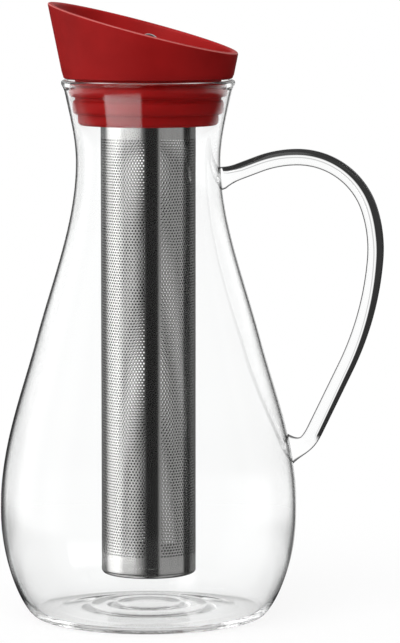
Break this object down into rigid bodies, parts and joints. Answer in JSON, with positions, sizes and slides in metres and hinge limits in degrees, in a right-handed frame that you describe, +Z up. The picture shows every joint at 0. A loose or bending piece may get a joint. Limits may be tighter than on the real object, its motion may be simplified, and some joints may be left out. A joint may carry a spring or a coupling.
{
  "type": "infuser carafe",
  "caption": "Pear-shaped clear glass carafe with a looped glass handle, a slanted red silicone pouring lid that plugs into the neck, and a long perforated steel infuser hung inside.",
  "frame": {"origin": "on the body's axis, in the plane of the ring that it stands on", "axes": "+Z up along the body's axis, +X towards the handle, the lid's tall lip towards -X"},
  "size_m": [0.1796, 0.1386, 0.2873],
  "materials": {
    "clear_glass": "clear, fire-polished",
    "red_silicone": "smooth satin moulded silicone",
    "perforated_steel": "polished sheet with fine staggered holes",
    "polished_steel": "polished"
  },
  "bodies": {
    "carafe": {"glass_body": "clear_glass", "glass_handle": "clear_glass"},
    "lid": {"lid_collar": "red_silicone", "plug_seal": "red_silicone"},
    "infuser": {"infuser_tube": "perforated_steel", "infuser_base": "polished_steel", "infuser_rim": "polished_steel"},
    "stopper": {"stopper_cap": "polished_steel", "stopper_bung": "red_silicone", "stopper_knob": "polished_steel", "stopper_nut": "polished_steel"}
  },
  "joints": [
    {"name": "lid_lift", "type": "slide", "parent": "carafe", "child": "lid", "axis": [0, 0, 1], "range_m": [0, 0.235]},
    {"name": "infuser_lift", "type": "slide", "parent": "lid", "child": "infuser", "axis": [0, 0, 1], "range_m": [0, 0.24]},
    {"name": "stopper_lift", "type": "slide", "parent": "infuser", "child": "stopper", "axis": [0, 0, 1], "range_m": [0, 0.04]}
  ]
}
